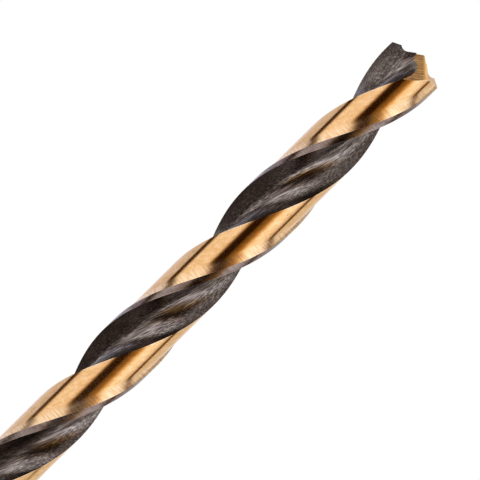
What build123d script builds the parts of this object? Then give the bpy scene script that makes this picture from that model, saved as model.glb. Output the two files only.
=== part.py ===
"""Twist drill bit: round shank, two right-hand helical flutes, form-ground split point.

Frame: the axis is Z, the flat shank end is at Z = 0 and the point is at the top.
The two outer corners of the point lie on the X axis, at Z = CORNER_HEIGHT.
"""
from math import acos, asin, atan2, ceil, cos, degrees, hypot, radians, sin, sqrt, tan
import os

from build123d import *

# ---- driving dimensions, in millimetres and degrees -------------------------------------
# blank
DRILL_DIAMETER = 6.35          # over the margins, at the outer corners
SHANK_DIAMETER = 6.32          # plain shank, and where the back taper of the body ends
OVERALL_LENGTH = 101.6         # shank end to the tip
FLUTE_LENGTH = 69.85           # tip to the end of the flutes' run-out
SHANK_CHAMFER = 0.4

# flutes
LEAD = 39.6                    # rise of the helix in one turn
FLUTE_WIDTH_ANGLE = 99.5       # leading edge to heel wall, at the full diameter
WEB_THICKNESS = 1.60           # core left between the flutes at the point
WEB_TAPER = 0.0167             # how far a flute draws out along its rake wall, per mm
FLUTE_ROOT_RADIUS = 1.43
FLUTE_WHEEL_RADIUS = 30.0      # the wheel that leaves the run-out at the shank end

# lands
MARGIN_WIDTH = 0.73            # full-diameter strip behind each leading edge
CLEARANCE_DEPTH = 0.30         # how far the land behind the margin is ground back
CLEARANCE_STEP_RADIUS = 1.20   # hollow between the cleared land and the margin
CLEARANCE_WHEEL_RADIUS = 18.0  # the wheel that ends the cleared land at the shank end

# point
POINT_HEIGHT = 1.26            # outer corners to the tip
LIP_SKEW = 9.4                 # the ground profile runs this far behind the outer corner
LIP_RELIEF = 11.0              # fall of the flank behind the lip
CORE_RISE = 0.05               # the two flanks would meet this far above the tip
CORE_SLOPE = 36.0              # the middle of the profile, down from the tip
GROOVE_START = 1.42            # distance from the axis where the profile hollows
CREST_RADIUS = 2.29            # distance from the axis of the crest outside the hollow
WING_SLOPE = 24.5              # the profile outside the crest
GASH_AZIMUTH = -124.5          # way down the heel facet, from the corner of its own land
GASH_SLOPE = 51.2
GASH_WALL_AZIMUTH = -9.4       # way down the wall that faces the heel facet
GASH_WALL_SLOPE = 72.0
GASH_REACH = 0.69              # the gash wall crosses the profile this far past the axis

# how closely the helical surfaces are laid out
TWIST_STEP = 20.0              # degrees of helix between two sections
RUNOUT_SECTIONS = 12

# ---- sizes that follow --------------------------------------------------------------------
RADIUS = DRILL_DIAMETER / 2
SHANK_RADIUS = SHANK_DIAMETER / 2
CORNER_HEIGHT = OVERALL_LENGTH - POINT_HEIGHT
FLUTE_END = OVERALL_LENGTH - FLUTE_LENGTH
CUTTER_SIZE = 4 * DRILL_DIAMETER
TURN_PER_MM = 360 / LEAD


def twist(height):
    """Turn of the helix at a height, nought at the outer corners."""
    return (height - CORNER_HEIGHT) * TURN_PER_MM


def on_circle(radius, azimuth):
    """Point of a circle about the axis, by its azimuth in degrees."""
    return (radius * cos(radians(azimuth)), radius * sin(radians(azimuth)))


def runout_start(depth, wheel_radius):
    """Height where a wheel starts to leave a cut of this depth, to be out at FLUTE_END."""
    return FLUTE_END + sqrt(wheel_radius**2 - (wheel_radius - depth)**2)


def wheel_lift(height, start, wheel_radius):
    """How far a wheel has risen out of its cut at a height below the run-out's start."""
    return wheel_radius - sqrt(wheel_radius**2 - max(0.0, start - height)**2)


def cut_heights(start, wheel_radius):
    """Heights of the sections of a helical cut, from above the tip to below its run-out."""
    top = OVERALL_LENGTH + RADIUS
    bottom = FLUTE_END - RADIUS / 2
    turns = ceil((top - start) * TURN_PER_MM / TWIST_STEP)
    helical = [top + (start - top) * i / turns for i in range(turns + 1)]
    leaving = [start + (bottom - start) * (i + 1) / RUNOUT_SECTIONS for i in range(RUNOUT_SECTIONS)]
    return helical + leaving


# ---- blank ----------------------------------------------------------------------------------
def make_blank():
    """Round bar: chamfered shank, and a body that widens a little towards the point."""
    top = OVERALL_LENGTH + POINT_HEIGHT
    outline = Polyline(
        (0, 0),
        (SHANK_RADIUS - SHANK_CHAMFER, 0),
        (SHANK_RADIUS, SHANK_CHAMFER),
        (SHANK_RADIUS, FLUTE_END),
        (RADIUS, CORNER_HEIGHT),
        (RADIUS, top),
        (0, top),
        close=True,
    )
    return revolve(make_face(Plane.XZ * outline), axis=Axis.Z)


# ---- flutes ---------------------------------------------------------------------------------
ROOT_CENTRE_RADIUS = WEB_THICKNESS / 2 + FLUTE_ROOT_RADIUS
HALF_FLUTE = FLUTE_WIDTH_ANGLE / 2


def wall_direction():
    """Angle of the rake wall from the flute's middle line: it touches the root arc."""
    edge_x, edge_y = on_circle(RADIUS, HALF_FLUTE)
    reach = hypot(edge_x - ROOT_CENTRE_RADIUS, edge_y)
    return degrees(atan2(edge_y, edge_x - ROOT_CENTRE_RADIUS)) - degrees(asin(FLUTE_ROOT_RADIUS / reach))


WALL_ANGLE = wall_direction()


def make_flute_form():
    """Section of the flute wheel about the flute's middle line, which is the X axis here.

    A straight rake wall, the root arc, and one larger arc that sweeps from the root out
    past the heel.
    """
    far = CUTTER_SIZE / 2
    root_x = WEB_THICKNESS / 2
    heel_x, heel_y = on_circle(RADIUS, HALF_FLUTE)
    heel_radius = ((heel_x - root_x) ** 2 + heel_y**2) / (2 * (heel_x - root_x))
    tangent_x = ROOT_CENTRE_RADIUS - FLUTE_ROOT_RADIUS * sin(radians(WALL_ANGLE))
    tangent_y = -FLUTE_ROOT_RADIUS * cos(radians(WALL_ANGLE))
    rim = (tangent_x + far * cos(radians(WALL_ANGLE)), tangent_y - far * sin(radians(WALL_ANGLE)))
    rake_wall = Line(rim, (tangent_x, tangent_y))
    root = TangentArc((root_x, 0), (tangent_x, tangent_y), tangent=(0, -1))
    heel_wall = TangentArc((root_x, 0), (root_x + heel_radius, heel_radius), tangent=(0, 1))
    past_heel = Line(heel_wall @ 1, (rim[0], heel_radius))
    back = Line(past_heel @ 1, rim)
    return make_face([rake_wall, root, heel_wall, past_heel, back])


def make_flute_cut():
    """One flute: its section climbs the helix, draws out with the web and runs out at the end."""
    form = make_flute_form()
    web_end = WEB_THICKNESS / 2 + WEB_TAPER * FLUTE_LENGTH * cos(radians(WALL_ANGLE))
    start = runout_start(SHANK_RADIUS - web_end, FLUTE_WHEEL_RADIUS)
    sections = []
    for height in cut_heights(start, FLUTE_WHEEL_RADIUS):
        drawn = WEB_TAPER * (CORNER_HEIGHT - height)
        lift = wheel_lift(height, start, FLUTE_WHEEL_RADIUS)
        shift_x = drawn * cos(radians(WALL_ANGLE)) + lift
        shift_y = -drawn * sin(radians(WALL_ANGLE))
        turn = Rot(0, 0, twist(height) + HALF_FLUTE)
        sections.append(Pos(0, 0, height) * turn * Pos(shift_x, shift_y) * form)
    return loft(sections)


# ---- lands ----------------------------------------------------------------------------------
MARGIN_ANGLE = degrees(MARGIN_WIDTH / RADIUS)
CLEARED_RADIUS = RADIUS - CLEARANCE_DEPTH


def make_clearance_form():
    """Section of the clearance cut: a ring piece from the margin's hollow to past the heel."""
    outside = RADIUS + CLEARANCE_DEPTH
    centre_radius = CLEARED_RADIUS + CLEARANCE_STEP_RADIUS

    def hollow_angle(radius):
        """Angle at the axis from the hollow's centre to where it meets a radius."""
        square = centre_radius**2 + radius**2 - CLEARANCE_STEP_RADIUS**2
        return degrees(acos(square / (2 * centre_radius * radius)))

    foot = -MARGIN_ANGLE - hollow_angle(RADIUS)
    past_heel = -(180 - FLUTE_WIDTH_ANGLE) - HALF_FLUTE / 2
    middle = (foot + past_heel) / 2
    rim = foot + hollow_angle(outside)
    half_way = (CLEARED_RADIUS + outside) / 2
    inner_foot = on_circle(CLEARED_RADIUS, foot)
    inner_end = on_circle(CLEARED_RADIUS, past_heel)
    outer_rim = on_circle(outside, rim)
    outer_end = on_circle(outside, past_heel)
    up_the_hollow = on_circle(half_way, foot + hollow_angle(half_way))
    cleared = ThreePointArc(inner_end, on_circle(CLEARED_RADIUS, middle), inner_foot)
    hollow = ThreePointArc(inner_foot, up_the_hollow, outer_rim)
    over = ThreePointArc(outer_rim, on_circle(outside, middle), outer_end)
    end = Line(outer_end, inner_end)
    return make_face([cleared, hollow, over, end])


def make_clearance_cut():
    """Clearance behind one margin: it follows the helix and rises out before the flute ends."""
    form = make_clearance_form()
    start = runout_start(CLEARANCE_DEPTH, CLEARANCE_WHEEL_RADIUS)
    sections = []
    for height in cut_heights(start, CLEARANCE_WHEEL_RADIUS):
        lift = wheel_lift(height, start, CLEARANCE_WHEEL_RADIUS)
        grown = scale(form, by=1 + lift / CLEARED_RADIUS)
        sections.append(Pos(0, 0, height) * Rot(0, 0, twist(height)) * grown)
    return loft(sections)


# ---- point ------------------------------------------------------------------------------------
def level_direction(azimuth):
    """Horizontal unit vector at an azimuth in degrees."""
    return Vector(cos(radians(azimuth)), sin(radians(azimuth)), 0)


def make_flank_cut():
    """Space that the formed wheel clears over one flank.

    Its profile stands in an upright plane through the outer corner, and is drawn back and
    down behind the lip: a steep core, a hollow, a crest and a flatter wing to the corner.
    """
    corner_x = RADIUS * cos(radians(LIP_SKEW))
    corner_y = RADIUS * sin(radians(LIP_SKEW))
    along = level_direction(-LIP_SKEW)
    behind = level_direction(-LIP_SKEW - 90)
    plane = Plane(origin=-behind * corner_y + Vector(0, 0, CORNER_HEIGHT), x_dir=along, z_dir=behind)
    reach = 1.3 * RADIUS
    core_fall = tan(radians(CORE_SLOPE))
    wing_fall = tan(radians(WING_SLOPE))
    axis_height = POINT_HEIGHT + CORE_RISE + corner_y * tan(radians(LIP_RELIEF))
    top = axis_height + reach * core_fall
    groove_start = (GROOVE_START, axis_height - GROOVE_START * core_fall)
    crest = (CREST_RADIUS, (corner_x - CREST_RADIUS) * wing_fall)
    wing_end = (reach, (corner_x - reach) * wing_fall)
    outline = [
        Line((-reach, top), groove_start),
        TangentArc(groove_start, crest, tangent=(1, -core_fall)),
        Line(crest, wing_end),
        Line(wing_end, (reach, top)),
        Line((reach, top), (-reach, top)),
    ]
    drop = Vector(0, 0, -tan(radians(LIP_RELIEF)))
    return extrude(plane * make_face(outline), amount=2 * RADIUS, dir=behind + drop, both=True)


def make_space_over(point, azimuth, slope):
    """Block that fills the side over a plane through a point, falling at a slope to an azimuth."""
    up = level_direction(azimuth) * sin(radians(slope)) + Vector(0, 0, cos(radians(slope)))
    block = Box(CUTTER_SIZE, CUTTER_SIZE, CUTTER_SIZE, align=(Align.CENTER, Align.CENTER, Align.MIN))
    return Plane(origin=point, z_dir=up) * block


def make_gash_cut():
    """Vee that splits the web behind one lip: the broad heel facet and the wall against it."""
    tip = Vector(0, 0, OVERALL_LENGTH)
    facet = make_space_over(tip, GASH_AZIMUTH, GASH_SLOPE)
    past_axis = GASH_REACH * -cos(radians(GASH_AZIMUTH - GASH_WALL_AZIMUTH))
    wall_drop = Vector(0, 0, -past_axis * tan(radians(GASH_SLOPE)))
    wall_point = tip - level_direction(GASH_WALL_AZIMUTH) * GASH_REACH + wall_drop
    return facet & make_space_over(wall_point, GASH_WALL_AZIMUTH, GASH_WALL_SLOPE)


# ---- the drill ----------------------------------------------------------------------------------
def make_twist_drill():
    drill = make_blank()
    cuts = [make_flute_cut(), make_clearance_cut(), make_flank_cut(), make_gash_cut()]
    for cut in cuts:
        for turn in (0, 180):
            drill -= Rot(0, 0, turn) * cut
    return drill


os.makedirs("parts", exist_ok=True)
export_step(make_twist_drill(), "parts/twist_drill.step")
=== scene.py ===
from math import acos, asin, atan2, cos, degrees, hypot, pi, radians, sin, sqrt, tan

import bpy
from mathutils import Matrix, Vector


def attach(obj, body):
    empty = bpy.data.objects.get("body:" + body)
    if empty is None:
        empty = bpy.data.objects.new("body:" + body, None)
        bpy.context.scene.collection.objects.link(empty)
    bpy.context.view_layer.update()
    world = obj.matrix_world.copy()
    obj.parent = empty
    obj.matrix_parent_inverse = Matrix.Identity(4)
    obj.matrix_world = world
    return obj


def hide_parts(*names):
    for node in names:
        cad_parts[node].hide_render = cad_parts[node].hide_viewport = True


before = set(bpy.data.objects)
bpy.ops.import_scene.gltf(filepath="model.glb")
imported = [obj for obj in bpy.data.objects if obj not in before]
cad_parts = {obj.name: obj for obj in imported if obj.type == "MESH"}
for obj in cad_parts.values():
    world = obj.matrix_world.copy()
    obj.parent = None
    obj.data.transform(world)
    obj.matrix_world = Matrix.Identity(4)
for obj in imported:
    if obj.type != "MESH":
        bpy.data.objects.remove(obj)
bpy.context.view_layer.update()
bpy.ops.object.select_all(action="DESELECT")

# ---- the drill's own sizes, in millimetres and degrees ------------------------------------
# Heights are counted from the two outer corners of the point while the drill is made, and the
# whole is stood on its shank end at the last.
DRILL_DIAMETER = 6.35
SHANK_DIAMETER = 6.32
OVERALL_LENGTH = 101.6
FLUTE_LENGTH = 69.85
SHANK_CHAMFER = 0.4
LEAD = 39.6
FLUTE_WIDTH_ANGLE = 99.5
WEB_THICKNESS = 1.60
WEB_TAPER = 0.0167
FLUTE_ROOT_RADIUS = 1.43
FLUTE_WHEEL_RADIUS = 30.0
MARGIN_WIDTH = 0.73
CLEARANCE_DEPTH = 0.30
CLEARANCE_STEP_RADIUS = 1.20
CLEARANCE_WHEEL_RADIUS = 18.0
POINT_HEIGHT = 1.26
LIP_SKEW = 9.4
LIP_RELIEF = 11.0
CORE_RISE = 0.05
CORE_SLOPE = 36.0
GROOVE_START = 1.42
CREST_RADIUS = 2.29
WING_SLOPE = 24.5
GASH_AZIMUTH = -124.5
GASH_SLOPE = 51.2
GASH_WALL_AZIMUTH = -9.4
GASH_WALL_SLOPE = 72.0
GASH_REACH = 0.69

# Worked out from them. The stretch between FLUTED_BOTTOM and FLUTED_TOP is fluted straight and
# then twisted, and the point is cut from its top.
RADIUS = DRILL_DIAMETER / 2
SHANK_RADIUS = SHANK_DIAMETER / 2
CORNER_HEIGHT = OVERALL_LENGTH - POINT_HEIGHT
FLUTE_END = POINT_HEIGHT - FLUTE_LENGTH
FLUTED_BOTTOM = FLUTE_END - 2.0
FLUTED_TOP = 3.2
HALF_FLUTE = FLUTE_WIDTH_ANGLE / 2
ROOT_CENTRE_RADIUS = WEB_THICKNESS / 2 + FLUTE_ROOT_RADIUS
CLEARED_RADIUS = RADIUS - CLEARANCE_DEPTH
MARGIN_ANGLE = degrees(MARGIN_WIDTH / RADIUS)
MM = 0.001

# How finely the mesh is made, in mm, degrees and numbers of steps.
BAR_SIDES = 240
RING_HEIGHT = 0.3
FLUTE_RUNOUT_STEPS = 24
CLEARANCE_RUNOUT_STEPS = 18
SHANK_RINGS = 24
END_INSET = 0.9
WELD = 0.0005
SMOOTH_BELOW = 24


# ---- hand tools --------------------------------------------------------------------------
def pick(piece):
    """Selects one piece and nothing else."""
    bpy.ops.object.select_all(action="DESELECT")
    piece.select_set(True)
    bpy.context.view_layer.objects.active = piece


def pick_faces(piece, wanted):
    """In edit mode, picks the faces that a rule wants, and nothing else."""
    bpy.ops.mesh.select_all(action="DESELECT")
    bpy.ops.object.mode_set(mode="OBJECT")
    for face in piece.data.polygons:
        face.select = bool(wanted(face))
    bpy.ops.object.mode_set(mode="EDIT")


def start_outline(name, x, y, height=0.0):
    """A new piece in edit mode that is one point, from which an outline is drawn."""
    bpy.ops.mesh.primitive_plane_add(size=1.0)
    piece = bpy.context.object
    piece.name = name
    bpy.ops.object.mode_set(mode="EDIT")
    bpy.ops.mesh.select_mode(type="VERT")
    bpy.ops.mesh.select_all(action="SELECT")
    bpy.ops.mesh.merge(type="CENTER")
    bpy.ops.transform.translate(value=(x, y, height))
    return piece


def line_by(x, y):
    """Draws the outline on by a straight line."""
    bpy.ops.mesh.extrude_region_move(TRANSFORM_OT_translate={"value": (x, y, 0)})


def arc_about(x, y, angle, height=0.0, steps=32):
    """Draws the outline on by an arc about a centre, in degrees, anticlockwise when positive."""
    bpy.ops.mesh.spin(steps=steps, angle=-radians(angle), center=(x, y, height), axis=(0, 0, 1))


def close_outline():
    """Joins the outline's ends and fills it."""
    bpy.ops.mesh.select_all(action="SELECT")
    bpy.ops.mesh.remove_doubles(threshold=0.0001)
    bpy.ops.mesh.select_all(action="SELECT")
    bpy.ops.mesh.edge_face_add()


def pull(x, y, z):
    """Extrudes the picked face by a shift."""
    bpy.ops.mesh.extrude_region_move(TRANSFORM_OT_translate={"value": (x, y, z)})


def done(piece, material=None):
    """Leaves edit mode with the faces turned outwards."""
    bpy.ops.mesh.select_all(action="SELECT")
    bpy.ops.mesh.normals_make_consistent(inside=False)
    bpy.ops.object.mode_set(mode="OBJECT")
    if material:
        piece.data.materials.clear()
        piece.data.materials.append(material)
    return piece


def set_down(piece, place=(0, 0, 0), turn=(0, 0, 0)):
    """Moves and turns a piece, and makes that its own place."""
    pick(piece)
    piece.location = place
    piece.rotation_euler = [radians(a) for a in turn]
    bpy.ops.object.transform_apply(location=True, rotation=True, scale=True)


def cut(body, tool, way="DIFFERENCE"):
    """Cuts a body with a tool, which leaves its own finish on the cut."""
    pick(body)
    step = body.modifiers.new("cut", "BOOLEAN")
    step.operation = way
    step.solver = "EXACT"
    step.material_mode = "TRANSFER"
    step.object = tool
    bpy.ops.object.modifier_apply(modifier=step.name)


def cut_both_sides(body, tool):
    """Cuts a body with a tool and with its half-turn copy, then throws both away."""
    cut(body, tool)
    set_down(tool, turn=(0, 0, 180))
    cut(body, tool)
    bpy.data.objects.remove(tool)


def direction(azimuth):
    """The level direction at an azimuth, one long."""
    return Vector((cos(radians(azimuth)), sin(radians(azimuth)), 0))


def runout_start(depth, wheel_radius):
    """The height at which a wheel so deep in the bar starts to leave it."""
    return FLUTE_END + sqrt(wheel_radius**2 - (wheel_radius - depth) ** 2)


def wheel_lift(height, start, wheel_radius):
    """How far a wheel has left the bar at a height."""
    return wheel_radius - sqrt(wheel_radius**2 - max(0.0, start - height) ** 2)


def runout_heights(top, start, bottom, steps):
    """Heights of a wheel's sweep: one long stretch, then fine steps through the run-out."""
    return [top, start] + [start + (bottom - start) * (i + 1) / steps for i in range(steps)]


# ---- the drill, while it is still straight -------------------------------------------------
def make_blank(material):
    """The fluted part of the bar, a little wider towards the point."""
    bpy.ops.mesh.primitive_cylinder_add(
        vertices=BAR_SIDES, radius=SHANK_RADIUS, depth=FLUTE_END - FLUTED_BOTTOM,
        location=(0, 0, (FLUTE_END + FLUTED_BOTTOM) / 2),
    )
    bar = bpy.context.object
    bar.name = "twist_drill_body"
    set_down(bar, place=bar.location.copy())
    bpy.ops.object.mode_set(mode="EDIT")
    bpy.ops.mesh.select_mode(type="FACE")
    pick_faces(bar, lambda face: face.normal.z > 0.9)
    pull(0, 0, -FLUTE_END)
    widen = RADIUS / SHANK_RADIUS
    bpy.ops.transform.resize(value=(widen, widen, 1), center_override=(0, 0, 0))
    pull(0, 0, FLUTED_TOP)
    return done(bar, material)


def make_flute_tool(material):
    """The flute wheel's sweep: straight rake wall, root, and the long curve out past the heel."""
    edge_x = RADIUS * cos(radians(HALF_FLUTE))
    edge_y = RADIUS * sin(radians(HALF_FLUTE))
    reach = hypot(edge_x - ROOT_CENTRE_RADIUS, edge_y)
    wall = degrees(atan2(edge_y, edge_x - ROOT_CENTRE_RADIUS) - asin(FLUTE_ROOT_RADIUS / reach))
    root_x = WEB_THICKNESS / 2
    heel_radius = ((edge_x - root_x) ** 2 + edge_y**2) / (2 * (edge_x - root_x))
    far = 2 * DRILL_DIAMETER
    top = FLUTED_TOP + 1.0
    above = -WEB_TAPER * top
    web_end = root_x + WEB_TAPER * FLUTE_LENGTH * cos(radians(wall))
    start = runout_start(SHANK_RADIUS - web_end, FLUTE_WHEEL_RADIUS)
    bottom = FLUTE_END - RADIUS / 2

    tool = start_outline("flute_wheel", root_x, 0, top)
    arc_about(ROOT_CENTRE_RADIUS, 0, 90 - wall, top)
    line_by(far * cos(radians(wall)), -far * sin(radians(wall)))
    rim_x = ROOT_CENTRE_RADIUS - FLUTE_ROOT_RADIUS * sin(radians(wall)) + far * cos(radians(wall))
    rim_y = -FLUTE_ROOT_RADIUS * cos(radians(wall)) - far * sin(radians(wall))
    line_by(0, heel_radius - rim_y)
    line_by(root_x + heel_radius - rim_x, 0)
    arc_about(root_x + heel_radius, 0, 90, top, steps=72)
    close_outline()
    bpy.ops.transform.translate(value=(above * cos(radians(wall)), -above * sin(radians(wall)), 0))

    heights = runout_heights(top, start, bottom, FLUTE_RUNOUT_STEPS)
    for upper, lower in zip(heights, heights[1:]):
        drawn = WEB_TAPER * (upper - lower)
        lift = wheel_lift(lower, start, FLUTE_WHEEL_RADIUS) - wheel_lift(upper, start, FLUTE_WHEEL_RADIUS)
        pull(drawn * cos(radians(wall)) + lift, -drawn * sin(radians(wall)), lower - upper)
    done(tool, material)
    set_down(tool, turn=(0, 0, HALF_FLUTE))
    return tool


def make_clearance_tool(material):
    """The sweep that lowers the land behind one margin, with the hollow at the margin's foot."""
    outside = RADIUS + CLEARANCE_DEPTH
    centre_radius = CLEARED_RADIUS + CLEARANCE_STEP_RADIUS

    def hollow_angle(radius):
        square = centre_radius**2 + radius**2 - CLEARANCE_STEP_RADIUS**2
        return degrees(acos(square / (2 * centre_radius * radius)))

    foot = -MARGIN_ANGLE - hollow_angle(RADIUS)
    past_heel = -(180 - FLUTE_WIDTH_ANGLE) - HALF_FLUTE / 2
    rim = foot + hollow_angle(outside)
    start = runout_start(CLEARANCE_DEPTH, CLEARANCE_WHEEL_RADIUS)
    top = FLUTED_TOP + 1.0
    bottom = FLUTE_END - RADIUS / 2
    end = direction(past_heel)
    centre = direction(foot) * centre_radius
    away = direction(foot) * CLEARED_RADIUS - centre
    out = direction(rim) * outside - centre
    hollow = degrees(atan2(away.x * out.y - away.y * out.x, away.dot(out)))

    tool = start_outline("clearance_wheel", end.x * CLEARED_RADIUS, end.y * CLEARED_RADIUS, top)
    arc_about(0, 0, foot - past_heel, top, steps=64)
    arc_about(centre.x, centre.y, hollow, top, steps=12)
    arc_about(0, 0, past_heel - rim, top, steps=64)
    line_by(end.x * (CLEARED_RADIUS - outside), end.y * (CLEARED_RADIUS - outside))
    close_outline()

    heights = runout_heights(top, start, bottom, CLEARANCE_RUNOUT_STEPS)
    for upper, lower in zip(heights, heights[1:]):
        pull(0, 0, lower - upper)
        before = 1 + wheel_lift(upper, start, CLEARANCE_WHEEL_RADIUS) / CLEARED_RADIUS
        after = 1 + wheel_lift(lower, start, CLEARANCE_WHEEL_RADIUS) / CLEARED_RADIUS
        grow = after / before
        bpy.ops.transform.resize(value=(grow, grow, 1), center_override=(0, 0, 0))
    return done(tool, material)


def twist_up(body):
    """Cuts the straight body into short rings and winds it up to the helix."""
    pick(body)
    bpy.ops.object.mode_set(mode="EDIT")
    length = FLUTED_TOP - FLUTED_BOTTOM
    count = int(length / RING_HEIGHT)
    for i in range(1, count):
        bpy.ops.mesh.select_all(action="SELECT")
        height = FLUTED_BOTTOM + length * i / count
        bpy.ops.mesh.bisect(plane_co=(0, 0, height), plane_no=(0, 0, 1))
    bpy.ops.object.mode_set(mode="OBJECT")
    wind = body.modifiers.new("wind", "SIMPLE_DEFORM")
    wind.deform_method = "TWIST"
    wind.deform_axis = "Z"
    wind.angle = radians(360 / LEAD * length)
    bpy.ops.object.modifier_apply(modifier=wind.name)


# ---- the point -------------------------------------------------------------------------------
def make_flank_tool(material):
    """The formed wheel's sweep over one flank: steep core, hollow, crest and flatter wing."""
    corner_x = RADIUS * cos(radians(LIP_SKEW))
    corner_y = RADIUS * sin(radians(LIP_SKEW))
    reach = 1.3 * RADIUS
    fall = tan(radians(CORE_SLOPE))
    wing = tan(radians(WING_SLOPE))
    relief = tan(radians(LIP_RELIEF))
    axis_height = POINT_HEIGHT + CORE_RISE + corner_y * relief
    top = axis_height + reach * fall
    groove = Vector((GROOVE_START, axis_height - GROOVE_START * fall))
    crest = Vector((CREST_RADIUS, (corner_x - CREST_RADIUS) * wing))
    wing_end = Vector((reach, (corner_x - reach) * wing))
    inward = Vector((fall, 1)).normalized()
    chord = crest - groove
    groove_radius = chord.length_squared / (2 * inward.dot(chord))
    centre = groove + inward * groove_radius
    a, b = groove - centre, crest - centre
    swing = degrees(atan2(a.x * b.y - a.y * b.x, a.dot(b)))

    half = 2 * RADIUS
    tool = start_outline("flank_wheel", -reach, top, -half)
    line_by(groove.x + reach, groove.y - top)
    arc_about(centre.x, centre.y, swing, -half, steps=28)
    line_by(wing_end.x - crest.x, wing_end.y - crest.y)
    line_by(0, top - wing_end.y)
    close_outline()
    bpy.ops.transform.translate(value=(0, half * relief, 0))
    pull(0, -2 * half * relief, 2 * half)
    done(tool, material)
    place = direction(90 - LIP_SKEW) * corner_y
    set_down(tool, place=place, turn=(90, 0, -LIP_SKEW))
    return tool


def slope_normal(azimuth, slope):
    """The upward normal of a plane that falls so steeply towards an azimuth."""
    return direction(azimuth) * sin(radians(slope)) + Vector((0, 0, cos(radians(slope))))


def make_side_over(name, point, azimuth, slope, material):
    """A block that fills the side over a plane through a point, falling to an azimuth."""
    size = 4 * DRILL_DIAMETER
    up = slope_normal(azimuth, slope)
    bpy.ops.mesh.primitive_cube_add(size=size)
    block = bpy.context.object
    block.name = name
    set_down(block, place=point + up * size / 2, turn=(0, slope, azimuth))
    block.data.materials.clear()
    block.data.materials.append(material)
    return block


def make_gash_tool(material):
    """The vee that splits the web behind one lip."""
    tip = Vector((0, 0, POINT_HEIGHT))
    facet = make_side_over("gash_facet", tip, GASH_AZIMUTH, GASH_SLOPE, material)
    past_axis = GASH_REACH * -cos(radians(GASH_AZIMUTH - GASH_WALL_AZIMUTH))
    drop = Vector((0, 0, -past_axis * tan(radians(GASH_SLOPE))))
    wall_point = tip - direction(GASH_WALL_AZIMUTH) * GASH_REACH + drop
    wall = make_side_over("gash_wall", wall_point, GASH_WALL_AZIMUTH, GASH_WALL_SLOPE, material)
    cut(facet, wall, "INTERSECT")
    bpy.data.objects.remove(wall)
    return facet


# ---- the shank -------------------------------------------------------------------------------
def draw_out_shank(body):
    """The plain shank below the flutes, with its chamfered end."""
    pick(body)
    bpy.ops.object.mode_set(mode="EDIT")
    bpy.ops.mesh.select_mode(type="FACE")
    pick_faces(body, lambda face: face.normal.z < -0.9 and face.center.z < FLUTED_BOTTOM + 0.001)
    length = FLUTED_BOTTOM + CORNER_HEIGHT - SHANK_CHAMFER
    for _ in range(SHANK_RINGS):
        pull(0, 0, -length / SHANK_RINGS)
    pull(0, 0, -SHANK_CHAMFER)
    narrow = (SHANK_RADIUS - SHANK_CHAMFER) / SHANK_RADIUS
    bpy.ops.transform.resize(value=(narrow, narrow, 1), center_override=(0, 0, 0))
    bpy.ops.mesh.inset(thickness=END_INSET)
    bpy.ops.object.mode_set(mode="OBJECT")


# ---- nodes for the finishes ------------------------------------------------------------------
def start_finish(name):
    """A bare metal finish: its material, its nodes and its shader."""
    material = bpy.data.materials.new(name)
    material.use_nodes = True
    tree = material.node_tree
    shader = tree.nodes["Principled BSDF"]
    shader.inputs["Metallic"].default_value = 1.0
    return material, tree, shader


def lay_in(tree, socket, term):
    """Feeds a socket from another node's output, or sets it to a fixed value."""
    if isinstance(term, bpy.types.NodeSocket):
        tree.links.new(term, socket)
    else:
        socket.default_value = term


def number_step(tree, operation, *terms):
    """One step of arithmetic on numbers."""
    step = tree.nodes.new("ShaderNodeMath")
    step.operation = operation
    for socket, term in zip(step.inputs, terms):
        lay_in(tree, socket, term)
    return step.outputs[0]


def vector_step(tree, operation, *terms):
    """One step of arithmetic on vectors."""
    step = tree.nodes.new("ShaderNodeVectorMath")
    step.operation = operation
    for socket, term in zip(step.inputs, terms):
        lay_in(tree, socket, term)
    return step.outputs["Value" if operation in ("DOT_PRODUCT", "LENGTH") else "Vector"]


def turned(tree, vector, angle):
    """A vector turned about the drill's axis."""
    turn = tree.nodes.new("ShaderNodeVectorRotate")
    turn.rotation_type = "Z_AXIS"
    lay_in(tree, turn.inputs["Vector"], vector)
    lay_in(tree, turn.inputs["Angle"], angle)
    return turn.outputs[0]


def spread(tree, value, low, high, to_low=0.0, to_high=1.0):
    """Lays a value's range on another range."""
    step = tree.nodes.new("ShaderNodeMapRange")
    step.inputs["From Min"].default_value = low
    step.inputs["From Max"].default_value = high
    step.inputs["To Min"].default_value = to_low
    step.inputs["To Max"].default_value = to_high
    lay_in(tree, step.inputs["Value"], value)
    return step.outputs["Result"]


def shades(tree, value, stops):
    """Colours laid along a value, from (place, colour) pairs."""
    ramp = tree.nodes.new("ShaderNodeValToRGB")
    marks = ramp.color_ramp.elements
    while len(marks) < len(stops):
        marks.new(0.5)
    for mark, (place, colour) in zip(marks, stops):
        mark.position = place
        mark.color = (*colour, 1)
    lay_in(tree, ramp.inputs["Fac"], value)
    return ramp.outputs["Color"]


def blend(tree, share, first, second, kind="RGBA", way="MIX"):
    """Mixes two colours or two vectors by a share."""
    mix = tree.nodes.new("ShaderNodeMix")
    mix.data_type = kind
    mix.blend_type = way
    lay_in(tree, mix.inputs["Factor"], share)
    lay_in(tree, mix.inputs["A"], first)
    lay_in(tree, mix.inputs["B"], second)
    return mix.outputs["Result"]


def dulled(tree, colour, by):
    """A colour darkened by another."""
    return blend(tree, 1.0, colour, by, way="MULTIPLY")


def place_in_mm(tree, zero=0.0):
    """Place on the drill in mm, with heights counted from one height."""
    place = tree.nodes.new("ShaderNodeTexCoord").outputs["Object"]
    in_mm = vector_step(tree, "MULTIPLY", place, (1 / MM, 1 / MM, 1 / MM))
    return vector_step(tree, "SUBTRACT", in_mm, (0, 0, zero))


def level_place(tree):
    """Place from the axis in mm, without its height."""
    return vector_step(tree, "MULTIPLY", place_in_mm(tree), (1, 1, 0))


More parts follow.
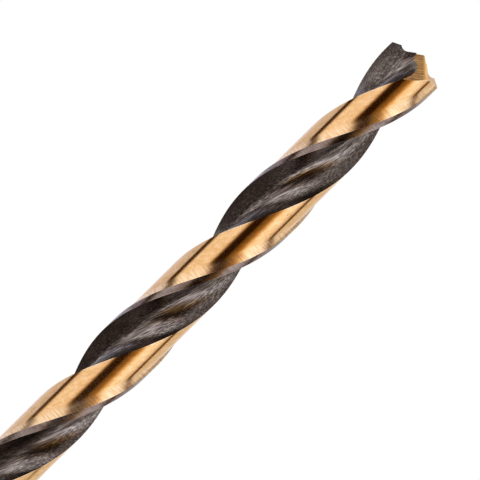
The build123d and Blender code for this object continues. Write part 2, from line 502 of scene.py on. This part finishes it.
def unwound(tree, lead):
    """Place on the drill, turned back about the axis so that a helix of this lead is upright."""
    place = place_in_mm(tree, CORNER_HEIGHT)
    parts = tree.nodes.new("ShaderNodeSeparateXYZ")
    lay_in(tree, parts.inputs[0], place)
    return turned(tree, place, number_step(tree, "MULTIPLY", parts.outputs["Z"], -2 * pi / lead))


def behind_the_edge(tree, place):
    """Degrees behind the leading edge of either land, from an unwound place."""
    bearing = tree.nodes.new("ShaderNodeTexGradient")
    bearing.gradient_type = "RADIAL"
    lay_in(tree, bearing.inputs["Vector"], place)
    half_turns = number_step(tree, "MULTIPLY", bearing.outputs["Fac"], 2.0)
    return spread(tree, number_step(tree, "FRACT", half_turns), 0, 1, 180, 0)


def from_the_tip(tree, azimuth):
    """Place in mm from the tip, with the point's other half turned onto the half at an azimuth."""
    place = place_in_mm(tree, OVERALL_LENGTH)
    side = number_step(tree, "SIGN", vector_step(tree, "DOT_PRODUCT", place, direction(azimuth)))
    half_turn = tree.nodes.new("ShaderNodeCombineXYZ")
    lay_in(tree, half_turn.inputs["X"], side)
    lay_in(tree, half_turn.inputs["Y"], side)
    lay_in(tree, half_turn.inputs["Z"], 1.0)
    return vector_step(tree, "MULTIPLY", place, half_turn.outputs[0])


def grain(tree, place, across, along, detail=3.0):
    """Noise with so many grains per mm across the axis and along it."""
    noise = tree.nodes.new("ShaderNodeTexNoise")
    lay_in(tree, noise.inputs["Scale"], 1.0)
    lay_in(tree, noise.inputs["Detail"], detail)
    lay_in(tree, noise.inputs["Vector"], vector_step(tree, "MULTIPLY", place, (across, across, along)))
    return noise.outputs["Fac"]


def grinding_lines(tree, place, way, per_mm):
    """Fine lines that follow each other along one direction."""
    noise = tree.nodes.new("ShaderNodeTexNoise")
    noise.noise_dimensions = "1D"
    lay_in(tree, noise.inputs["Scale"], per_mm)
    lay_in(tree, noise.inputs["Detail"], 2.0)
    lay_in(tree, noise.inputs["W"], vector_step(tree, "DOT_PRODUCT", place, way))
    return noise.outputs["Fac"]


def face_normal(tree):
    """The face's own outward direction."""
    return tree.nodes.new("ShaderNodeNewGeometry").outputs["Normal"]


def along_the_face(tree, grains, lead):
    """Grains of a helix of this lead, faded out to a half where the face cuts across them."""
    round_way = vector_step(tree, "CROSS_PRODUCT", (0, 0, 2 * pi / lead), level_place(tree))
    helix_way = vector_step(tree, "NORMALIZE", vector_step(tree, "ADD", round_way, (0, 0, 1)))
    facing = vector_step(tree, "DOT_PRODUCT", face_normal(tree), helix_way)
    kept = spread(tree, number_step(tree, "ABSOLUTE", facing), 0.1, 0.5, 1.0, 0.15)
    return number_step(tree, "MULTIPLY_ADD", number_step(tree, "SUBTRACT", grains, 0.5), kept, 0.5)


def rounded_edges(tree, width):
    """The face's direction, with sharp edges rounded off over a width in mm."""
    rounded = tree.nodes.new("ShaderNodeBevel")
    rounded.samples = 4
    lay_in(tree, rounded.inputs["Radius"], width * MM)
    return rounded.outputs[0]


def near_an_edge(tree, width):
    """How near a face is to a sharp edge, from nought to one."""
    same = vector_step(tree, "DOT_PRODUCT", rounded_edges(tree, width), face_normal(tree))
    return spread(tree, same, 0.96, 0.80)


def rough_up(tree, shader, height, depth, normal=None):
    """Bump of so many mm from a height between nought and one."""
    bump = tree.nodes.new("ShaderNodeBump")
    lay_in(tree, bump.inputs["Distance"], depth * MM)
    lay_in(tree, bump.inputs["Height"], height)
    if normal:
        lay_in(tree, bump.inputs["Normal"], normal)
    lay_in(tree, shader.inputs["Normal"], bump.outputs[0])


# ---- finishes --------------------------------------------------------------------------------
def make_ground_steel():
    """Margins and shank: dark ground steel with fine lines round the axis."""
    material, tree, shader = start_finish("ground_steel")
    place = unwound(tree, LEAD)
    lines = grain(tree, place, 1.2, 11.0)
    cloud = grain(tree, place, 1.5, 0.8)
    colour = shades(tree, lines, [(0.3, (0.17, 0.122, 0.104)), (0.7, (0.30, 0.232, 0.205))])
    stain = shades(tree, cloud, [(0.38, (0.72, 0.66, 0.64)), (0.6, (1, 1, 1))])
    stained = dulled(tree, colour, stain)
    # Lighter colour along sharp edges: a painted edge highlight, partly also wear showing bright metal.
    edge_wear_and_highlight = blend(tree, near_an_edge(tree, 0.05), stained, (0.62, 0.50, 0.42, 1))
    lay_in(tree, shader.inputs["Base Color"], edge_wear_and_highlight)
    lay_in(tree, shader.inputs["Roughness"], spread(tree, lines, 0.3, 0.7, 0.17, 0.25))
    rough_up(tree, shader, lines, 0.002)
    return material


# Degrees behind the leading edge where the dressing of the hollow ends, and how far the dressed
# face leans at the margin.
HOLLOW_END = 36.0
HOLLOW_LEAN = 12.0


def make_bronze_land():
    """Cleared lands: bright bronze temper colour, mottled and pitted.

    Beside the margin the hollow is dressed wide and soft, with grinding marks across it.
    """
    material, tree, shader = start_finish("bronze_land")
    place = unwound(tree, LEAD)
    cloud = grain(tree, place, 3.0, 1.6, 4.0)
    mottle = shades(tree, cloud, [
        (0.32, (0.66, 0.385, 0.16)), (0.5, (0.72, 0.44, 0.205)), (0.68, (0.78, 0.505, 0.265)),
    ])
    fine = grain(tree, place, 12.0, 12.0, 2.0)
    pits = shades(tree, fine, [(0.28, (0.25, 0.14, 0.08)), (0.37, (0.94, 0.91, 0.87)), (0.6, (1, 1, 1))])
    land = dulled(tree, mottle, pits)

    dressed = spread(tree, behind_the_edge(tree, place), HOLLOW_END, MARGIN_ANGLE)
    in_hollow = spread(tree, dressed, 0.0, 0.45)
    marks = grain(tree, place, 0.6, 8.0, 1.0)
    hatch = shades(tree, marks, [(0.36, (0.68, 0.43, 0.23)), (0.54, (0.86, 0.60, 0.36))])
    dressed_land = blend(tree, in_hollow, land, hatch)
    # Pale cream along sharp edges: a painted edge highlight, partly also wear showing bright metal.
    edge_wear_and_highlight = blend(tree, near_an_edge(tree, 0.12), dressed_land, (1.0, 0.86, 0.66, 1))
    lay_in(tree, shader.inputs["Base Color"], edge_wear_and_highlight)
    lay_in(tree, shader.inputs["Roughness"], spread(tree, in_hollow, 0, 1, 0.13, 0.22))

    outward = vector_step(tree, "NORMALIZE", level_place(tree))
    leaning = turned(tree, outward, number_step(tree, "MULTIPLY", dressed, -radians(HOLLOW_LEAN)))
    soft = blend(tree, in_hollow, face_normal(tree), leaning, kind="VECTOR")
    rough_up(tree, shader, fine, 0.002, soft)
    return material


SCORE_LEAD = 20.0  # the scores in the flutes wind faster than the flutes do


def make_dark_flute():
    """Flutes: black oxide over the long fine scores that the flute wheel has left."""
    material, tree, shader = start_finish("dark_flute")
    place = unwound(tree, SCORE_LEAD)
    scores = along_the_face(tree, grain(tree, place, 11.0, 0.45, 2.0), SCORE_LEAD)
    broad = grain(tree, place, 1.5, 0.12, 2.0)
    colour = shades(tree, scores, [
        (0.36, (0.075, 0.060, 0.054)), (0.5, (0.18, 0.15, 0.137)), (0.64, (0.42, 0.37, 0.335)),
    ])
    patchy = shades(tree, broad, [(0.36, (0.66, 0.61, 0.60)), (0.64, (1, 1, 1))])
    oxide = dulled(tree, colour, patchy)
    # Bronze along sharp edges: a painted edge highlight, partly also wear through the oxide.
    edge_wear_and_highlight = blend(tree, near_an_edge(tree, 0.04), oxide, (0.50, 0.30, 0.17, 1))
    lay_in(tree, shader.inputs["Base Color"], edge_wear_and_highlight)
    lay_in(tree, shader.inputs["Roughness"], spread(tree, broad, 0.3, 0.7, 0.27, 0.18))
    rough_up(tree, shader, scores, 0.016)
    return material


# The flank beside the first lip and the facet that meets it in a ridge through the tip: the
# azimuths of their halves of the point, and the directions that their grinding follows.
FLANK_HALF = -50
FACET_HALF = -90
FACET_UP = slope_normal(GASH_AZIMUTH, GASH_SLOPE)
LIP_WAY = direction(-LIP_SKEW) - Vector((0, 0, tan(radians(CORE_SLOPE))))
RELIEF_WAY = direction(-LIP_SKEW - 90) - Vector((0, 0, tan(radians(LIP_RELIEF))))
RIDGE_WAY = FACET_UP.cross(RELIEF_WAY.cross(LIP_WAY)).normalized()
RIDGE_SIDE = RIDGE_WAY.cross(FACET_UP)


def make_ground_flank():
    """Flanks behind the lips: bright, form-ground, warmest beside the ridge."""
    material, tree, shader = start_finish("ground_flank")
    shader.inputs["Specular Tint"].default_value = (1.0, 0.76, 0.50, 1)
    place = from_the_tip(tree, FLANK_HALF)
    lines = grinding_lines(tree, place, LIP_WAY, 6.0)
    ground = shades(tree, lines, [(0.3, (0.60, 0.47, 0.42)), (0.7, (0.80, 0.67, 0.61))])
    way_out = vector_step(tree, "DOT_PRODUCT", place, RIDGE_SIDE)
    warm = shades(tree, spread(tree, way_out, 0.0, 0.8), [
        (0.16, (1.0, 0.42, 0.05)), (0.5, (0.97, 0.72, 0.40)),
    ])
    colour = blend(tree, spread(tree, way_out, 0.8, 0.35), ground, warm)
    lay_in(tree, shader.inputs["Base Color"], colour)
    lay_in(tree, shader.inputs["Roughness"], spread(tree, lines, 0.3, 0.7, 0.26, 0.34))
    rough_up(tree, shader, lines, 0.003)
    return material


def make_gash_bronze():
    """The facets that split the web: bronze, crossed by grinding lines, with a painted highlight along
    the ridge.
    """
    material, tree, shader = start_finish("gash_bronze")
    place = from_the_tip(tree, FACET_HALF)
    lines = grinding_lines(tree, place, RIDGE_WAY, 4.5)
    cloud = grain(tree, place, 1.6, 1.6)
    bronze = shades(tree, lines, [
        (0.30, (0.46, 0.235, 0.09)), (0.48, (0.70, 0.40, 0.16)), (0.62, (0.96, 0.62, 0.30)),
    ])
    dull = shades(tree, cloud, [(0.36, (0.72, 0.68, 0.66)), (0.62, (1.0, 0.98, 0.94))])
    stained = dulled(tree, bronze, dull)
    way_in = vector_step(tree, "DOT_PRODUCT", place, RIDGE_SIDE)
    # A bright gold strip beside the ridge: a painted highlight along that edge.
    colour = blend(tree, spread(tree, way_in, -0.13, -0.04), stained, (1.0, 0.68, 0.20, 1))
    lay_in(tree, shader.inputs["Base Color"], colour)
    lay_in(tree, shader.inputs["Roughness"], spread(tree, lines, 0.3, 0.7, 0.30, 0.42))
    rough_up(tree, shader, lines, 0.004, rounded_edges(tree, 0.14))
    return material


# ---- the drill put together ------------------------------------------------------------------
def make_drill():
    """Ground straight, wound up, pointed, drawn out to the shank and stood on its end in metres."""
    body = make_blank(make_ground_steel())
    cut_both_sides(body, make_flute_tool(make_dark_flute()))
    cut_both_sides(body, make_clearance_tool(make_bronze_land()))
    twist_up(body)
    cut_both_sides(body, make_flank_tool(make_ground_flank()))
    cut_both_sides(body, make_gash_tool(make_gash_bronze()))
    draw_out_shank(body)
    pick(body)
    bpy.ops.object.mode_set(mode="EDIT")
    bpy.ops.mesh.select_all(action="SELECT")
    bpy.ops.mesh.remove_doubles(threshold=WELD)
    bpy.ops.mesh.normals_make_consistent(inside=False)
    bpy.ops.object.mode_set(mode="OBJECT")
    body.location.z = CORNER_HEIGHT * MM
    body.scale = (MM, MM, MM)
    bpy.ops.object.transform_apply(location=True, rotation=True, scale=True)
    bpy.ops.object.shade_smooth_by_angle(angle=radians(SMOOTH_BELOW))
    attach(body, "root")
    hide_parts("twist_drill")


# ---- studio, in metres and degrees -----------------------------------------------------------
FLOOR_SIZE = 6.0
FLOOR_COLOUR = (0.9, 0.9, 0.9, 1)
FLOOR_ROUGHNESS = 0.9
SHADOW_RADIUS = 0.06
WHITE_RADIUS = 0.22
ROOM_LIGHT = 0.7
CAMERA_AZIMUTH = -99.4
CAMERA_ELEVATION = 4.6
CAMERA_DISTANCE = 0.240
CAMERA_ROLL = 44.80
AIM_HEIGHT = 0.07594
AIM_SIDE = 0.0001
SENSOR_WIDTH = 36
PICTURE_WIDTH = 480
PIXELS_FOCAL = 2424.0


def seen_or_mirrored(tree):
    """One on rays that the camera sees straight, in a mirror or through glass, else nought."""
    ray = tree.nodes.new("ShaderNodeLightPath").outputs
    seen = number_step(tree, "MAXIMUM", ray["Is Camera Ray"], ray["Is Glossy Ray"])
    return number_step(tree, "MAXIMUM", seen, ray["Is Transmission Ray"])


def make_floor():
    """Pale paper that takes the drill's shadow near it, and fades to the white of the room."""
    bpy.ops.mesh.primitive_plane_add(size=FLOOR_SIZE)
    floor = bpy.context.object
    floor.name = "studio_floor"
    material = bpy.data.materials.new("white_paper")
    material.use_nodes = True
    tree = material.node_tree
    paper = tree.nodes["Principled BSDF"]
    paper.inputs["Base Color"].default_value = FLOOR_COLOUR
    paper.inputs["Roughness"].default_value = FLOOR_ROUGHNESS
    glow = tree.nodes.new("ShaderNodeEmission")
    away = vector_step(tree, "LENGTH", tree.nodes.new("ShaderNodeTexCoord").outputs["Object"])
    fade = spread(tree, away, SHADOW_RADIUS, WHITE_RADIUS)
    mix = tree.nodes.new("ShaderNodeMixShader")
    lay_in(tree, mix.inputs[0], number_step(tree, "MULTIPLY", seen_or_mirrored(tree), fade))
    lay_in(tree, mix.inputs[1], paper.outputs[0])
    lay_in(tree, mix.inputs[2], glow.outputs[0])
    lay_in(tree, tree.nodes["Material Output"].inputs["Surface"], mix.outputs[0])
    floor.data.materials.append(material)


def make_world():
    """A plain white room, softer as a light than as a backdrop."""
    world = bpy.data.worlds.new("studio")
    bpy.context.scene.world = world
    world.use_nodes = True
    tree = world.node_tree
    background = tree.nodes["Background"]
    background.inputs["Color"].default_value = (1, 1, 1, 1)
    strength = spread(tree, seen_or_mirrored(tree), 0, 1, ROOM_LIGHT, 1.0)
    lay_in(tree, background.inputs["Strength"], strength)


def make_camera():
    """Stands before the drill, a little above its middle, rolled to put the point upper right."""
    az, el = radians(CAMERA_AZIMUTH), radians(CAMERA_ELEVATION)
    back = Vector((cos(az) * cos(el), sin(az) * cos(el), sin(el)))
    look = -back
    rise = (Vector((0, 0, 1)) - look * look.z).normalized()
    side = look.cross(rise)
    roll = radians(CAMERA_ROLL)
    right = rise * cos(roll) + side * sin(roll)
    up = rise * sin(roll) - side * cos(roll)
    place = Vector((0, 0, AIM_HEIGHT)) + side * AIM_SIDE + back * CAMERA_DISTANCE
    data = bpy.data.cameras.new("camera")
    data.sensor_width = SENSOR_WIDTH
    data.lens = SENSOR_WIDTH * PIXELS_FOCAL / PICTURE_WIDTH
    data.clip_start = 0.01
    data.clip_end = 20
    camera = bpy.data.objects.new("camera", data)
    bpy.context.scene.collection.objects.link(camera)
    camera.matrix_world = Matrix((
        (right.x, up.x, back.x, place.x),
        (right.y, up.y, back.y, place.y),
        (right.z, up.z, back.z, place.z),
        (0, 0, 0, 1),
    ))
    bpy.context.scene.camera = camera


# ---- what the metal mirrors: bright screens, dark cards and a wall round it, table and ceiling ---
def card_paper(name, colour):
    """A card's paper, which shows one even colour to the metal, and its nodes and glow."""
    material = bpy.data.materials.new(name)
    material.use_nodes = True
    tree = material.node_tree
    glow = tree.nodes.new("ShaderNodeEmission")
    glow.inputs["Color"].default_value = (*colour, 1)
    lay_in(tree, tree.nodes["Material Output"].inputs["Surface"], glow.outputs[0])
    return material, tree, glow


def seen_in_metal_only(card):
    """Keeps a card out of the picture and off the floor's light."""
    card.visible_camera = False
    card.visible_shadow = False
    card.visible_diffuse = False


def make_card(name, first, last, stops, bottom=0.003, top=0.14, distance=0.20):
    """An upright card bent round the drill between two azimuths from the camera, shaded across."""
    card = start_outline(name, distance, 0, bottom)
    arc_about(0, 0, last - first, bottom, steps=24)
    bpy.ops.mesh.select_all(action="SELECT")
    pull(0, 0, top - bottom)
    bpy.ops.object.mode_set(mode="OBJECT")
    material, tree, glow = card_paper(name, (1, 1, 1))
    round_the_drill = tree.nodes.new("ShaderNodeTexGradient")
    round_the_drill.gradient_type = "RADIAL"
    place = tree.nodes.new("ShaderNodeTexCoord").outputs["Object"]
    lay_in(tree, round_the_drill.inputs["Vector"], place)
    share = spread(tree, round_the_drill.outputs["Fac"], 0.5, 0.5 + (last - first) / 360)
    laid = [((azimuth - first) / (last - first), colour) for azimuth, colour in stops]
    lay_in(tree, glow.inputs["Color"], shades(tree, share, laid))
    card.data.materials.append(material)
    card.rotation_euler.z = radians(CAMERA_AZIMUTH + first)
    seen_in_metal_only(card)


def make_disc(name, radius, height, colour):
    """A level round card about the drill's axis."""
    bpy.ops.mesh.primitive_circle_add(
        vertices=64, radius=radius, fill_type="NGON", location=(0, 0, height),
    )
    disc = bpy.context.object
    disc.name = name
    disc.data.materials.append(card_paper(name, colour)[0])
    seen_in_metal_only(disc)


def make_cards():
    """The cards from left to right as the camera stands, each with its shades by azimuth."""
    make_card("left_wall", -160, -94, [(-160, (1.0, 1.05, 1.25)), (-94, (0.88, 0.92, 1.12))])
    make_card("left_card", -94, -75, [
        (-94, (0.6, 0.45, 0.35)),
        (-90, (0.05, 0.025, 0.01)),
        (-80, (0.05, 0.025, 0.01)),
        (-75, (0.5, 0.35, 0.2)),
    ])
    make_card("left_screen", -73, -19, [
        (-73, (1.0, 0.95, 0.9)),
        (-67, (1.33, 1.33, 1.38)),
        (-28, (1.33, 1.33, 1.38)),
        (-19, (1.15, 1.05, 0.95)),
    ], top=0.19)
    make_card("front_card", -19, 48, [
        (-19, (1.15, 1.05, 0.95)),
        (-14, (0.45, 0.28, 0.12)),
        (-9, (0.03, 0.010, 0.001)),
        (13, (0.03, 0.010, 0.001)),
        (18, (0.19, 0.11, 0.03)),
        (32, (0.43, 0.23, 0.06)),
        (41, (1.08, 0.78, 0.40)),
        (48, (1.5, 1.42, 1.25)),
    ], top=0.16)
    make_card("right_screen", 48, 86, [
        (48, (1.45, 1.4, 1.3)),
        (56, (1.6, 1.65, 1.8)),
        (74, (1.45, 1.5, 1.6)),
        (86, (0.9, 0.85, 0.8)),
    ], top=0.17)
    make_card("right_card", 88, 101, [
        (88, (0.5, 0.35, 0.22)),
        (91, (0.16, 0.08, 0.03)),
        (98, (0.16, 0.08, 0.03)),
        (101, (0.6, 0.45, 0.3)),
    ])
    make_disc("table_card", 0.15, 0.0003, (0.15, 0.125, 0.11))
    make_disc("ceiling_card", 0.40, 0.30, (0.50, 0.46, 0.44))


make_drill()
make_floor()
make_world()
make_camera()
make_cards()

bpy.context.scene.view_settings.view_transform = "Standard"
